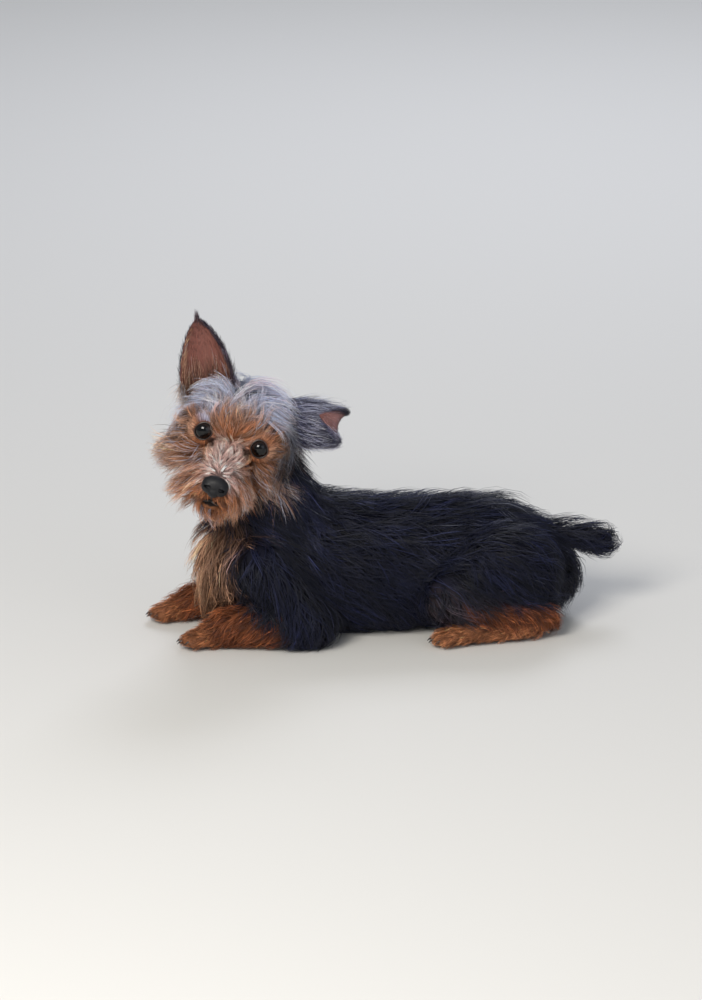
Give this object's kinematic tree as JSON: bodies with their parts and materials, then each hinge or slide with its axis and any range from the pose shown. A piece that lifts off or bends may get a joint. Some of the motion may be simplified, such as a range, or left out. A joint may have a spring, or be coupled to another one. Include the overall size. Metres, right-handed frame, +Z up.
{
  "type": "yorkshire terrier",
  "caption": "Life-size still model of a young yorkshire terrier lying on its chest, head turned and tilted, one ear up and one folded, with a long coat of flat locks.",
  "frame": {"origin": "middle of the underside of the whole box, on the floor the dog lies on", "axes": "+Z up, -X the way the chest and the front paws point, -Y the dog's left side"},
  "size_m": [0.3142, 0.1422, 0.2202],
  "materials": {
    "black_coat": "long silky black hair with a blue sheen",
    "tan_coat": "long silky tan hair, silver on the crown",
    "ear_skin": "thin ear leather with short hair",
    "eye": "glossy dark eye",
    "nose_leather": "moist black nose leather"
  },
  "bodies": {
    "root": {"torso": "black_coat", "neck": "black_coat", "tail": "black_coat", "head": "tan_coat", "leg_front_left": "tan_coat", "leg_front_right": "tan_coat", "leg_hind_left": "tan_coat", "leg_hind_right": "tan_coat", "ear_left": "ear_skin", "ear_right": "ear_skin", "eye_left": "eye", "eye_right": "eye", "nose": "nose_leather"}
  },
  "joints": []
}
